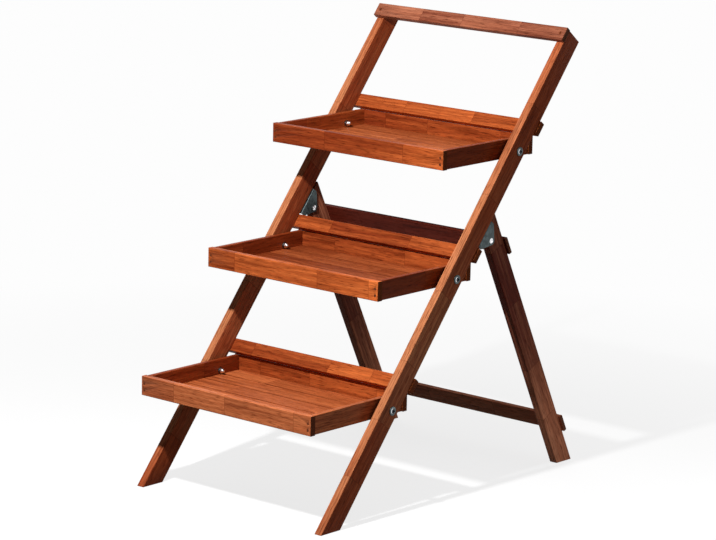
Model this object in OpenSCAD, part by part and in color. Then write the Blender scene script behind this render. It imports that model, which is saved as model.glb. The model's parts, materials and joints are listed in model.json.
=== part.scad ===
// Plant ladder stand: two leaning rails carry three tilting trays, and a hinged
// rear frame props them up. It folds flat: the rear frame swings in behind the
// rails, and each tray turns up about its two bolts.
// Millimetres. The front faces -Y, the floor is Z = 0, and the origin lies on the
// floor under the middle of the stand.

/* [Ladder rails] */
// Width over the outer faces of the two rails
frame_w = 500; // [420:5:640]
// Thickness of a rail, across the stand
rail_t = 18; // [15:0.5:22]
// Depth of a rail, from its front face to its rear face
rail_d = 44; // [40:1:50]
// Length of a rail's front face, from its toe to its square top end
rail_len = 1173; // [1080:1:1320]
// Lean of the rails back from upright, in degrees
lean = 38.8; // [35:0.1:41]
// Radius of the eased edges on all timber
edge_r = 1.5; // [0.5:0.25:2]

/* [Cross members] */
// Overhang of handle bar, battens and crosspieces past a rail's outer face
overhang = 2.5; // [0:0.5:6]
// Width of the handle bar along the rails
handle_w = 30.5; // [26:0.5:44]
// Thickness of the handle bar
handle_t = 11.5; // [10:0.5:20]
// Width of a batten along the rails
batten_w = 29.5; // [24:0.5:38]
// Thickness of a batten
batten_t = 12.5; // [8:0.5:14]

/* [Trays] */
// Depth of a tray, front to back
tray_d = 286; // [250:1:290]
// Height of a tray
tray_h = 39.5; // [38:0.5:48]
// Gap between a rail and the side of a tray
tray_gap = 7; // [5:0.5:10]
// Thickness of a tray's front and back boards
end_t = 14; // [12:0.5:16]
// Length of a tray's front and back boards past the outer faces of its side boards
end_over = 3; // [0:0.5:4]
// Thickness of a tray's side boards, which stand between the front and back boards
side_t = 10; // [8:0.5:12]
// Slats in the floor of a tray
slat_count = 5; // [4:1:6]
// Thickness of a slat
slat_t = 8; // [6:0.5:10]
// Gap between two slats
slat_gap = 2; // [1:0.5:4]
// Width of the rabbet that holds the slat ends
rabbet_w = 5; // [3:0.5:6]
// Thickness of the slat ends that lie in the rabbets
tongue_t = 5; // [4:0.5:6]

/* [Tray pivots] */
// Distance up the rail from its toe to the bottom tray's bolt
first_bolt = 293; // [270:1:340]
// Distance along the rail from one tray's bolt to the next
tray_pitch = 302; // [292:0.5:325]
// Depth of the bolts behind a rail's front face
bolt_in = 27; // [22:0.5:30]
// Distance from a tray's rear face forward to its bolts
bolt_to_rear = 71; // [66:1:78]
// Height of the bolts above the tray floor
bolt_rise = 8; // [8:0.5:13]
// Diameter of the pivot bolts
bolt_d = 6; // [5:0.5:7]
// Diameter of a bolt head
bolt_head_d = 11; // [9:0.5:13]
// Height of a bolt head
bolt_head_h = 3.3; // [2.5:0.1:4.5]
// Width across the flats of the socket in a bolt head
socket_af = 4; // [3:0.5:5]
// Diameter of the washer under a bolt head
washer_d = 18; // [14:0.5:20]
// Diameter of the spacer between rail and tray
spacer_d = 14; // [12:0.5:18]
// Diameter of the washer under a cap nut
nut_washer_d = 12.5; // [11.5:0.5:14]
// Thickness of the washers
washer_t = 1.6; // [1:0.1:2]
// Width across the flats of a cap nut
nut_af = 10; // [9:0.5:11]
// Height of the hexagon of a cap nut
nut_hex_h = 5; // [4:0.5:6]
// Height of a cap nut over its dome
nut_h = 9.5; // [9:0.5:12]

/* [Rear frame] */
// Depth of a rear leg, front to back
leg_d = 44; // [38:1:50]
// Thickness of a rear leg
leg_t = 18; // [14:0.5:20]
// Angle of the rear legs from upright when open, in degrees
splay = 26.4; // [22:0.1:32]
// Distance from the rails' rear faces back to the hinge pin
hinge_off = 26.5; // [24:0.5:32]
// Distance from a leg's front edge back to the hinge pin
hinge_in = 9; // [8:0.5:14]
// Width of the two crosspieces
cross_w = 38; // [34:1:55]
// Thickness of the two crosspieces
cross_t = 8.5; // [6:0.5:12]
// Distance down the leg from the hinge pin to the upper crosspiece
upper_cross_drop = 19.5; // [12:0.5:60]
// Distance up the leg from the floor to the lower crosspiece
lower_cross_lift = 57; // [40:0.5:120]

/* [Hinge brackets] */
// Length of a bracket along its rail
bracket_len = 60; // [54:1:70]
// Thickness of the bracket's sheet
bracket_t = 2; // [1.5:0.1:2.5]
// Height of the straight part of an ear above the rail's rear face
ear_wall = 10; // [8:0.5:14]
// Radius of the rounded tip of an ear
ear_r = 9; // [8:0.5:10]
// Gap between the middle batten and a bracket
bracket_clear = 2.5; // [0.5:0.1:5]
// Diameter of the hinge pins
pin_d = 6; // [5:0.5:7]
// Diameter of a hinge pin's heads
pin_head_d = 11; // [9:0.5:13]
// Height of a hinge pin's heads
pin_head_h = 2.6; // [2:0.1:3.5]

/* [Screws and nails] */
// Diameter of the wood screws
screw_d = 4; // [3.5:0.1:4.5]
// Head diameter of the wood screws
screw_head_d = 8; // [7:0.5:9]
// Length of the screws through the handle bar
handle_screw_len = 40; // [32:1:45]
// Length of the screws through battens and crosspieces
cross_screw_len = 30; // [24:1:34]
// Diameter of the bracket screws
bracket_screw_d = 3.5; // [3:0.1:4]
// Head diameter of the bracket screws
bracket_screw_head_d = 7; // [6:0.5:7.5]
// Length of the bracket screws
bracket_screw_len = 18; // [14:1:22]
// Diameter of the screws at the tray corners
corner_screw_d = 3; // [2.5:0.1:3.2]
// Head diameter of the corner screws
corner_screw_head_d = 6; // [5:0.5:6.5]
// Length of the corner screws
corner_screw_len = 35; // [30:1:45]
// Diameter of the floor nails
nail_d = 1.8; // [1.4:0.1:2.2]
// Head diameter of the floor nails
nail_head_d = 3.6; // [3:0.1:4]
// Length of the floor nails
nail_len = 22; // [18:1:26]

/* [Fits] */
// Radial clearance of the pivot bolts and hinge pins in the wood they turn in
pivot_fit = 0.05; // [0.02:0.01:0.1]
// Side clearance beside each part that turns
run_gap = 0.3; // [0.2:0.05:0.5]
// Clearance at the stops of the trays and the rear frame
stop_gap = 0.2; // [0.1:0.05:0.4]
// Clearance between the shoulders of a slat and the side boards
shoulder_gap = 0.2; // [0.1:0.05:0.3]

/* [Hidden] */
$fn = 48;
TIERS = ["bottom", "middle", "top"];
SIDES = ["left", "right"];
WOOD = [0.64, 0.31, 0.15];
DARK_WOOD = [0.40, 0.18, 0.10];
FLOOR_WOOD = [0.70, 0.37, 0.19];
STEEL = [0.75, 0.76, 0.78];
BRIGHT = [0.87, 0.88, 0.90];

// Every cut that has to pass right through a piece overshoots it by this much
through = 1;
// Larger than the stand, for the cuts along the floor and the rails' rear faces
reach = 2 * rail_len;

// The rails
rail_out = frame_w / 2;
rail_in = rail_out - rail_t;
rail_mid = rail_out - rail_t / 2;
member_len = frame_w + 2 * overhang;

// A tray about its own bolts: Y to the rear, Z up, zero on the bolt axis
tray_w = 2 * (rail_in - tray_gap);
end_w = tray_w + 2 * end_over;
tray_rear = bolt_to_rear;
tray_front = bolt_to_rear - tray_d;
tray_floor = -bolt_rise;
tray_base = tray_floor - slat_t;
tray_top = tray_base + tray_h;
inside_front = tray_front + end_t;
inside_w = tray_w - 2 * side_t;
inside_d = tray_d - 2 * end_t;
slat_len = inside_w + 2 * rabbet_w;
slat_w = (inside_d - (slat_count - 1) * slat_gap) / slat_count;
slat_pitch = slat_w + slat_gap;
nail_in = rabbet_w / 2;
corner_screw_in = side_t * 0.45;
corner_screw_rise = [slat_t + corner_screw_d, tray_h * 0.62];

// Places along a rail: s is the distance up its front face, n the depth behind it
function rail_y(s, n) = s * sin(lean) + n * cos(lean);
function rail_z(s, n) = s * cos(lean) - n * sin(lean);
function bolt_s(tier) = first_bolt + tier * tray_pitch;
function bolt_y(tier) = rail_y(bolt_s(tier), bolt_in);
function bolt_z(tier) = rail_z(bolt_s(tier), bolt_in);

// A batten's lower rear edge is the stop on which the rims of a loaded tray's sides bear
batten_rear = rail_d + batten_t;
function batten_s(tier) =
    (bolt_z(tier) + tray_top + stop_gap + batten_rear * sin(lean)) / cos(lean);

// The hinge stands just above the middle batten
hinge_s = batten_s(1) + batten_w + bracket_clear + bracket_len / 2;
hinge_n = rail_d + hinge_off;
hinge_y = rail_y(hinge_s, hinge_n);
hinge_z = rail_z(hinge_s, hinge_n);

// A rear leg about its hinge pin: Y to the rear across the leg, Z up along it
leg_front = -hinge_in;
leg_rear = leg_d - hinge_in;
leg_run = hinge_z / cos(splay);
leg_out = rail_out - bracket_t - run_gap;
leg_in = leg_out - leg_t;
leg_mid = (leg_in + leg_out) / 2;
leg_head = 2 * leg_d;
leg_tail = leg_run + leg_d;
lower_cross_drop = leg_run - lower_cross_lift - cross_w;
cross_screw_pitch = cross_w / 2;

// The brackets: the outer ear is flush with the rail's outer face
ear_in = leg_in - run_gap - bracket_t;
bend_r = 1.25 * bracket_t;
bracket_screw_pitch = bracket_len * 0.62;

// The stand is centred front to back over the floor that it covers
y_front = min(0, bolt_y(0) + tray_front);
y_back = max(hinge_y + hinge_z * tan(splay) + leg_rear / cos(splay),
             rail_y(rail_len, rail_d));
y_mid = (y_front + y_back) / 2;

// The stack on a pivot bolt, from its head inwards along X
spacer_len = tray_gap - run_gap;
nut_washer_out = tray_w / 2 - side_t - run_gap;
nut_seat = nut_washer_out - washer_t;
bolt_grip = rail_out + washer_t - nut_seat;
nut_depth = nut_hex_h;
bolt_len = bolt_grip + nut_depth;
dome_r = 0.475 * nut_af;

// ---- Placing ----

// Right-hand pieces are drawn, and left-hand ones are their mirror images
module on_side(side) {
    mirror([side == "left" ? 1 : 0, 0, 0]) children();
}

module both_sides() {
    for (side = SIDES) on_side(side) children();
}

// Local Y runs into the rails from their front faces, local Z up along them
module on_rails() {
    translate([0, -y_mid, 0]) rotate([-lean, 0, 0]) children();
}

// Local origin on a tray's bolt axis
module on_tray(tier) {
    translate([0, bolt_y(tier) - y_mid, bolt_z(tier)]) children();
}

// Local origin on the hinge pin, local Z up along the rear legs
module on_legs() {
    translate([0, hinge_y - y_mid, hinge_z]) rotate([splay, 0, 0]) children();
}

// Cuts everything below the floor away, which leaves level feet
module above_floor() {
    difference() {
        children();
        translate([-reach / 2, -reach / 2, -reach]) cube(reach);
    }
}

// ---- Timber ----

// Cross-section of a piece of timber with eased edges, its corner at the origin
module section(w, h, r = edge_r) {
    translate([r, 0]) square([w - 2 * r, h]);
    translate([0, r]) square([w, h - 2 * r]);
    for (x = [r, w - r], y = [r, h - r]) translate([x, y]) circle(r);
}

// Timber across the stand, centred on X, with its section in Y and Z
module across(length, d, h) {
    translate([-length / 2, 0, 0]) rotate([90, 0, 90]) linear_extrude(length) section(d, h);
}

// Timber along Z, with its section in X and Y
module upright(w, d, length) {
    linear_extrude(length) section(w, d);
}

// ---- Fasteners ----

// Countersunk wood screw driven down from z = 0, with a pointed end
module screw_shape(d, head_d, length) {
    sink = (head_d - d) / 2;
    translate([0, 0, -sink]) cylinder(h = sink, d1 = d, d2 = head_d);
    translate([0, 0, d - length]) cylinder(h = length - d, d = d);
    translate([0, 0, -length]) cylinder(h = d, d1 = 0, d2 = d);
}

// The screw itself, with its cross recess
module screw(d, head_d, length) {
    slot = d / 4;
    difference() {
        screw_shape(d, head_d, length);
        for (turn = [0, 90]) rotate(turn)
            translate([-d / 2, -slot / 2, -d / 2]) cube([d, slot, d / 2 + through]);
    }
}

// The hole for a screw, which runs out past the surface at z = 0
module screw_hole(d, head_d, length) {
    screw_shape(d, head_d, length);
    cylinder(h = through, d = head_d);
}

module wood_screw(length) { screw(screw_d, screw_head_d, length); }
module wood_screw_hole(length) { screw_hole(screw_d, screw_head_d, length); }

module at_handle_screws() {
    for (x = [-rail_mid, rail_mid]) on_rails()
        translate([x, -handle_t, rail_len - handle_w / 2]) rotate([90, 0, 0]) children();
}

module at_batten_screws(tier) {
    for (x = [-rail_mid, rail_mid]) on_rails()
        translate([x, batten_rear, batten_s(tier) + batten_w / 2]) rotate([-90, 0, 0]) children();
}

module at_bracket_screws() {
    for (x = [-leg_mid, leg_mid], end = [-0.5, 0.5]) on_rails()
        translate([x, rail_d + bracket_t, hinge_s + end * bracket_screw_pitch])
            rotate([-90, 0, 0]) children();
}

module at_cross_screws(drop) {
    for (x = [-leg_mid, leg_mid], end = [-0.5, 0.5]) on_legs()
        translate([x, leg_rear + cross_t, -drop - cross_w / 2 + end * cross_screw_pitch])
            rotate([-90, 0, 0]) children();
}

// ---- Ladder frame ----

module rail(side) {
    color(WOOD) difference() {
        above_floor() on_rails() on_side(side)
            translate([rail_in, 0, 0]) upright(rail_t, rail_d, rail_len);
        for (tier = [0:2]) on_tray(tier) rotate([0, 90, 0])
            cylinder(h = 2 * member_len, d = bolt_d + 2 * pivot_fit, center = true);
        at_handle_screws() wood_screw_hole(handle_screw_len);
        for (tier = [0:2]) at_batten_screws(tier) wood_screw_hole(cross_screw_len);
        at_bracket_screws() bracket_screw_hole();
    }
}

module handle_bar() {
    color(WOOD) difference() {
        on_rails() translate([0, -handle_t, rail_len - handle_w])
            across(member_len, handle_t, handle_w);
        at_handle_screws() wood_screw_hole(handle_screw_len);
    }
}

module handle_screws() {
    color(STEEL) at_handle_screws() wood_screw(handle_screw_len);
}

module batten(tier) {
    color(WOOD) difference() {
        on_rails() translate([0, rail_d, batten_s(tier)])
            across(member_len, batten_t, batten_w);
        at_batten_screws(tier) wood_screw_hole(cross_screw_len);
    }
}

module batten_screws() {
    color(STEEL) for (tier = [0:2]) at_batten_screws(tier) wood_screw(cross_screw_len);
}

// ---- Hinge brackets ----

// The straight edge of an ear, from a corner p, dives this far under its round tip
tip_dive = 0.05;

// Where that edge ends, seen from the pin
function touch(p, turn) =
    let (r = ear_r - tip_dive, angle = atan2(p.y, p.x) + turn * acos(r / norm(p)))
    r * [cos(angle), sin(angle)];

// Side view of an ear about the pin: X along the rail, Y away from it
module ear_outline() {
    half = bracket_len / 2;
    corner = [half, ear_wall - hinge_off];
    upper = touch(corner, 1);
    polygon([[-half, -hinge_off], [half, -hinge_off], corner, upper,
             [-upper.x, upper.y], [-corner.x, corner.y]]);
    circle(ear_r);
}

// End view of the channel: X across the stand, Y away from the rail
module channel_profile() {
    width = rail_out - ear_in;
    depth = hinge_off + ear_r;
    inner_r = bend_r - bracket_t;
    difference() {
        translate([ear_in, 0]) section(width, 2 * depth, bend_r);
        translate([ear_in + bracket_t, bracket_t])
            section(width - 2 * bracket_t, 2 * depth, inner_r);
        translate([0, depth]) square([rail_out + through, 2 * depth]);
    }
}

module hinge_bracket(side) {
    color(STEEL) difference() {
        on_rails() on_side(side) intersection() {
            translate([0, rail_d, hinge_s - bracket_len / 2])
                linear_extrude(bracket_len) channel_profile();
            translate([0, hinge_n, hinge_s]) rotate([90, 0, 90]) rotate([0, 0, 90])
                linear_extrude(rail_out + through) mirror([0, 1]) ear_outline();
        }
        hinge_pin_bore(pin_d);
        at_bracket_screws() bracket_screw_hole();
    }
}

module bracket_screw_hole() {
    screw_hole(bracket_screw_d, bracket_screw_head_d, bracket_screw_len);
}

module bracket_screws() {
    color(STEEL) at_bracket_screws()
        screw(bracket_screw_d, bracket_screw_head_d, bracket_screw_len);
}

module hinge_pin_bore(d) {
    on_legs() rotate([0, 90, 0]) cylinder(h = 2 * member_len, d = d, center = true);
}

// A shallow dome of the given diameter and height, standing on z = 0
module dome(d, h) {
    ball_r = (d * d / 4 + h * h) / (2 * h);
    intersection() {
        translate([0, 0, h - ball_r]) sphere(ball_r, $fn = 64);
        cylinder(h = h, d = d + through);
    }
}

// One headed pin through the two ears and the leg between them
module hinge_pins() {
    color(BRIGHT) both_sides() on_legs() {
        translate([ear_in, 0, 0]) rotate([0, 90, 0]) cylinder(h = rail_out - ear_in, d = pin_d);
        translate([rail_out, 0, 0]) rotate([0, 90, 0]) dome(pin_head_d, pin_head_h);
        translate([ear_in, 0, 0]) rotate([0, -90, 0]) dome(pin_head_d, pin_head_h);
    }
}

// ---- Rear frame ----

module leg(side) {
    color(DARK_WOOD) difference() {
        above_floor() on_legs() on_side(side) translate([leg_in, leg_front, -leg_tail])
            upright(leg_t, leg_d, leg_tail + leg_head);
        // The top end is bevelled to bear flat on the bracket when the stand is open
        on_rails() translate([-reach / 2, rail_d + bracket_t + stop_gap - reach, -reach / 2])
            cube([reach, reach, 2 * reach]);
        hinge_pin_bore(pin_d + 2 * pivot_fit);
        for (drop = [upper_cross_drop, lower_cross_drop])
            at_cross_screws(drop) wood_screw_hole(cross_screw_len);
    }
}

module crosspiece(drop) {
    color(DARK_WOOD) difference() {
        on_legs() translate([0, leg_rear, -drop - cross_w]) across(member_len, cross_t, cross_w);
        at_cross_screws(drop) wood_screw_hole(cross_screw_len);
    }
}

module crosspiece_screws() {
    color(STEEL) for (drop = [upper_cross_drop, lower_cross_drop])
        at_cross_screws(drop) wood_screw(cross_screw_len);
}

// ---- Trays ----

// Two screws at each corner of a tray, through the front or back board into a side board
module at_corner_screws() {
    both_sides() for (rise = corner_screw_rise) {
        x = tray_w / 2 - corner_screw_in;
        translate([x, tray_front, tray_base + rise]) rotate([90, 0, 0]) children();
        translate([x, tray_rear, tray_base + rise]) rotate([-90, 0, 0]) children();
    }
}

module corner_screw_hole() {
    screw_hole(corner_screw_d, corner_screw_head_d, corner_screw_len);
}

// Front and back boards: they cover the ends of the side boards and stand out past them
module tray_end_board(tier, y) {
    color(WOOD) on_tray(tier) difference() {
        intersection() {
            translate([0, y, tray_base]) across(end_w, end_t, tray_h);
            translate([-end_w / 2, y, tray_base - through])
                linear_extrude(tray_h + 2 * through) section(end_w, end_t);
        }
        at_corner_screws() corner_screw_hole();
    }
}

// Side boards: bored for the bolt, and rabbeted underneath for the slats
module tray_side_board(tier, side) {
    color(WOOD) on_tray(tier) on_side(side) difference() {
        translate([tray_w / 2 - side_t, inside_front + inside_d, tray_base]) rotate([90, 0, 0])
            linear_extrude(inside_d) section(side_t, tray_h);
        translate([0, inside_front - through, tray_base - through])
            cube([slat_len / 2, inside_d + 2 * through, tongue_t + through]);
        rotate([0, 90, 0]) cylinder(h = tray_w, d = bolt_d + 2 * pivot_fit);
        at_corner_screws() corner_screw_hole();
        slat_nails() nail_hole();
    }
}

module tray_screws(tier) {
    color(STEEL) on_tray(tier) at_corner_screws()
        screw(corner_screw_d, corner_screw_head_d, corner_screw_len);
}

// Slats are counted from the front. Their shouldered ends lie in the rabbets.
module tray_slat(tier, i) {
    color(FLOOR_WOOD) on_tray(tier) difference() {
        translate([0, inside_front + (i - 1) * slat_pitch, tray_base])
            across(slat_len, slat_w, slat_t);
        both_sides() translate([inside_w / 2 - shoulder_gap, tray_front, tray_base + tongue_t])
            cube([rabbet_w + through, tray_d, slat_t]);
        slat_nails() nail_hole();
    }
}

// Two nails at each end of each slat, driven up into the side boards
module slat_nails() {
    for (side = [-1, 1], i = [0:slat_count - 1], part = [0.25, 0.75])
        translate([side * (slat_len / 2 - nail_in),
                   inside_front + i * slat_pitch + part * slat_w, tray_base])
            children();
}

// A flat-headed nail driven upwards from z = 0
module nail_shape() {
    cylinder(h = nail_len, d = nail_d);
    cylinder(h = nail_d / 2, d = nail_head_d);
}

module nail_hole() {
    nail_shape();
    translate([0, 0, -through]) cylinder(h = through, d = nail_head_d);
}

module tray_nails(tier) {
    color(STEEL) on_tray(tier) slat_nails() nail_shape();
}

// ---- Pivot bolts ----

// Local Z points outwards along the bolt, from x on the bolt axis of each tray
module at_pivots(x) {
    for (tier = [0:2]) on_tray(tier) both_sides() translate([x, 0, 0]) rotate([0, 90, 0]) children();
}

module ring(d, h) {
    difference() {
        cylinder(h = h, d = d);
        translate([0, 0, -through]) cylinder(h = h + 2 * through, d = bolt_d + 2 * pivot_fit);
    }
}

// Button-headed bolts with a hexagon socket
module pivot_bolts() {
    color(BRIGHT) at_pivots(rail_out + washer_t) {
        translate([0, 0, -bolt_len]) cylinder(h = bolt_len, d = bolt_d);
        difference() {
            dome(bolt_head_d, bolt_head_h);
            translate([0, 0, bolt_head_h * 0.35])
                cylinder(h = bolt_head_h, d = socket_af / cos(30), $fn = 6);
        }
    }
}

module pivot_washers() {
    color(STEEL) {
        at_pivots(rail_out) ring(washer_d, washer_t);
        at_pivots(nut_seat) ring(nut_washer_d, washer_t);
    }
}

module pivot_spacers() {
    color(STEEL) at_pivots(rail_in - spacer_len) ring(spacer_d, spacer_len);
}

// Domed nuts inside the trays
module pivot_cap_nuts() {
    color(BRIGHT) at_pivots(nut_seat) mirror([0, 0, 1]) difference() {
        union() {
            cylinder(h = nut_hex_h, d = nut_af / cos(30), $fn = 6);
            cylinder(h = nut_h - dome_r, r = dome_r);
            translate([0, 0, nut_h - dome_r]) sphere(dome_r);
        }
        translate([0, 0, -through])
            cylinder(h = nut_depth + through, d = bolt_d + 2 * pivot_fit);
    }
}

// ---- The nodes ----

for (side = SIDES) {
    rail(side);
    hinge_bracket(side);
    leg(side);
}
handle_bar();
handle_screws();
batten_screws();
bracket_screws();
hinge_pins();
pivot_bolts();
pivot_washers();
pivot_spacers();
pivot_cap_nuts();
crosspiece(upper_cross_drop);  // crosspiece_upper
crosspiece(lower_cross_drop);  // crosspiece_lower
crosspiece_screws();
for (tier = [0:2]) {
    tray = str("tray_", TIERS[tier]);
    batten(tier);
    tray_end_board(tier, tray_front);
    tray_end_board(tier, tray_rear - end_t);
    for (side = SIDES)
        tray_side_board(tier, side);
    for (i = [1:slat_count])
        tray_slat(tier, i);
    tray_screws(tier);
    tray_nails(tier);
}
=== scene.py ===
"""Looks of the plant ladder stand: oiled hardwood boards, plated bolts and hinges.

Everything is in metres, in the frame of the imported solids: X to the right of a viewer
who faces the stand, Y to the rear, Z up, and the floor at zero. Distances inside the
materials are in millimetres, because the boards carry their grain in millimetres.
"""
import json
import math
import random

import bmesh
import bpy
from bpy.props import FloatProperty, FloatVectorProperty, IntProperty, PointerProperty
from mathutils import Matrix, Vector


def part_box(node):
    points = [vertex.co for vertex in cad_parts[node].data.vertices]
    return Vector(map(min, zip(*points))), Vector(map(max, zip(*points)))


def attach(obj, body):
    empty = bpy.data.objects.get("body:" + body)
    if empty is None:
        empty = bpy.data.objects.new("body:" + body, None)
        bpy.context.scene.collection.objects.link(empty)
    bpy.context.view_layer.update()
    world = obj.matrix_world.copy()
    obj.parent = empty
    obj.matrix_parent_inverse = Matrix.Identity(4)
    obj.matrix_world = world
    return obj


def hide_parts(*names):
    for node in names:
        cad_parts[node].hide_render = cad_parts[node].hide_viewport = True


bl_info = {
    "name": "Plant Ladder Stand",
    "version": (1, 0, 0),
    "blender": (4, 5, 0),
    "location": "View3D > Sidebar > Stand",
    "description": "Dresses a folding plant stand of oiled hardwood, and lights it",
    "category": "Object",
}

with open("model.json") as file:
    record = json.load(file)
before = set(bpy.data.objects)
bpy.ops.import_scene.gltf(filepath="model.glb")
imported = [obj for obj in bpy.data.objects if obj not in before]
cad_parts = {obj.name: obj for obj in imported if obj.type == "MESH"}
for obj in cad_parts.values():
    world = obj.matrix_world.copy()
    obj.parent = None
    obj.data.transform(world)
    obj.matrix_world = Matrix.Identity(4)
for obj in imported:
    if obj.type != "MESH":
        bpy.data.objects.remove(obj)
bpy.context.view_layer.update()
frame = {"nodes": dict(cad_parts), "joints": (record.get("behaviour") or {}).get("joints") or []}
PIVOTS = {joint["child"]: Vector(joint["pos_m"]) for joint in frame["joints"]}
TIERS = ("bottom", "middle", "top")
MM = 0.001


def linear(code):
    """The linear colour of an sRGB hex code."""
    parts = [int(code[i:i + 2], 16) / 255 for i in (1, 3, 5)]
    return tuple(c / 12.92 if c <= 0.04045 else ((c + 0.055) / 1.055) ** 2.4 for c in parts)


# ---- Sizes and colours ----


def colour(name, description, code):
    """A colour that the user can change."""
    return FloatVectorProperty(name=name, description=description, default=linear(code),
                               subtype="COLOR", size=3, min=0, max=1)


def length(name, description, millimetres):
    """A length that the user can change, kept in metres."""
    return FloatProperty(name=name, description=description, default=millimetres * MM,
                         min=0, subtype="DISTANCE", unit="LENGTH", precision=4)


class StandTimber(bpy.types.PropertyGroup):
    """Tones and figure of the oiled hardwood."""

    # Rail, light is a pale pink, which paints the sheen on the rails' front faces
    rail_light: colour("Rail, light", "Lightest wood of the rails", "#C27C53")
    rail_dark: colour("Rail, dark", "Darkest wood of the rails", "#A64E2B")
    tray_light: colour("Tray board, light", "Lightest wood of tray boards and battens", "#D77138")
    tray_dark: colour("Tray board, dark", "Darkest wood of tray boards and battens", "#86381A")
    low_light: colour("Bottom tray, light", "Lightest wood of its front and right side", "#CC7447")
    low_dark: colour("Bottom tray, dark", "Darkest wood of its front and right side", "#7E3924")
    slat_light: colour("Slat, light", "Lightest wood of the slats", "#CC7040")
    slat_dark: colour("Slat, dark", "Darkest wood of the slats", "#83391A")
    leg_light: colour("Leg, light", "Lightest wood of legs, crosspieces and handle", "#DD906C")
    leg_dark: colour("Leg, dark", "Darkest wood of legs, crosspieces and handle", "#64261A")
    stave_short: length("Shortest stave", "Shortest length that the boards are glued up from", 110)
    stave_long: length("Longest stave", "Longest length that the boards are glued up from", 230)
    end_ease: length("End easing", "Rounding of the sawn ends that show", 0.8)
    ring_gap: length("Ring spacing", "Distance between two growth rings", 6)
    pore_width: length("Pore width", "Width of the dark pore lines along the grain", 1.3)
    pore_length: length("Pore length", "Length of the dark pore lines", 22)


class StandHardware(bpy.types.PropertyGroup):
    """Sizes and colours of bolts, nuts, washers, hinges and screws."""

    head_width: length("Bolt head", "Diameter of a bolt's button head", 11)
    head_height: length("Bolt head height", "Height of a bolt's button head", 3.3)
    socket_width: length("Socket", "Width across the flats of the socket in a bolt head", 4)
    nut_width: length("Cap nut", "Width across the flats of a cap nut", 10)
    turns: IntProperty(name="Roundness", description="Steps round each turned piece",
                       default=48, min=12, max=96)
    bright: colour("Bright steel", "Nickel plated bolts, cap nuts and pins", "#E4E5E8")
    galvanised: colour("Galvanised steel", "Zinc plated brackets, washers and spacers", "#4D5657")
    # Painted shade and painted reflection: the dark colour of the crowns and sockets of the bolt
    # heads
    painted_head_shade: colour("Blackened steel", "Crowns and sockets of the bolt heads", "#2C2E31")
    bronzed: colour("Bronzed steel", "Screws and nails of trays and handle bar", "#84452A")
    screw: colour("Screw steel", "Dull zinc plated screws of battens and rear frame", "#33221A")


class StandStage(bpy.types.PropertyGroup):
    """Floor, lamps and soft light."""

    floor: colour("Floor", "Colour of the pale floor", "#FDFDFD")
    lamp_place: FloatVectorProperty(name="Lamp place", description="Middle of the lamp",
                                    default=(0.18, -1.28, 1.8), size=3, subtype="TRANSLATION",
                                    unit="LENGTH")
    lamp_size: length("Lamp size", "Diameter of the lamp", 90)
    lamp_power: FloatProperty(name="Lamp power", description="Power of the lamp, in watts",
                              default=205, min=0)
    fill_place: FloatVectorProperty(name="Fill place", description="Middle of the fill light",
                                    default=(0.9, 0.45, 0.12), size=3, subtype="TRANSLATION",
                                    unit="LENGTH")
    fill_power: FloatProperty(name="Fill power", description="Power of the fill light, in watts",
                              default=3, min=0)
    rear: FloatProperty(name="Rear light", description="Soft light from behind, to the left",
                        default=1.5, min=0)
    overhead: FloatProperty(name="Overhead light", description="Soft light from the upper right",
                            default=0.27, min=0)


# ---- Material nodes ----


def add(tree, kind, inputs=(), **settings):
    """Adds a node, and fills its sockets with plain values or with links.

    A socket goes by its name or its number. A Mix has its share at 0, its two numbers
    at 2 and 3 and its two colours at 6 and 7. A MapRange maps what lies between 1 and 2
    to between 3 and 4.
    """
    node = tree.nodes.new("ShaderNode" + kind)
    for name, value in settings.items():
        setattr(node, name, value)
    for socket, value in dict(inputs).items():
        if isinstance(value, bpy.types.NodeSocket):
            tree.links.new(value, node.inputs[socket])
        else:
            node.inputs[socket].default_value = value
    return node


def start_material(name):
    """A new material, its node tree and its shader."""
    material = bpy.data.materials.new(name)
    material.use_nodes = True
    return material, material.node_tree, material.node_tree.nodes["Principled BSDF"]


# The wave texture has one ring in this length
RING_TURN = 0.314


def grain_place(tree):
    """Where a point lies on its stave, the stave's tone, seed and length, and its log.

    The first and the last are places in mm, with X along the grain. The last one differs
    from stave to stave, so that each seems to be sawn from another part of a log.
    """
    grain = add(tree, "Attribute", attribute_name="grain")
    stave = add(tree, "Attribute", attribute_name="stave")
    parts = add(tree, "SeparateXYZ", {0: stave.outputs["Vector"]})
    place = add(tree, "VectorMath", {0: parts.outputs["Y"], 1: (4000, 70, 90),
                                     2: grain.outputs["Vector"]}, operation="MULTIPLY_ADD")
    return grain.outputs["Vector"], parts, place.outputs[0]


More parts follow.
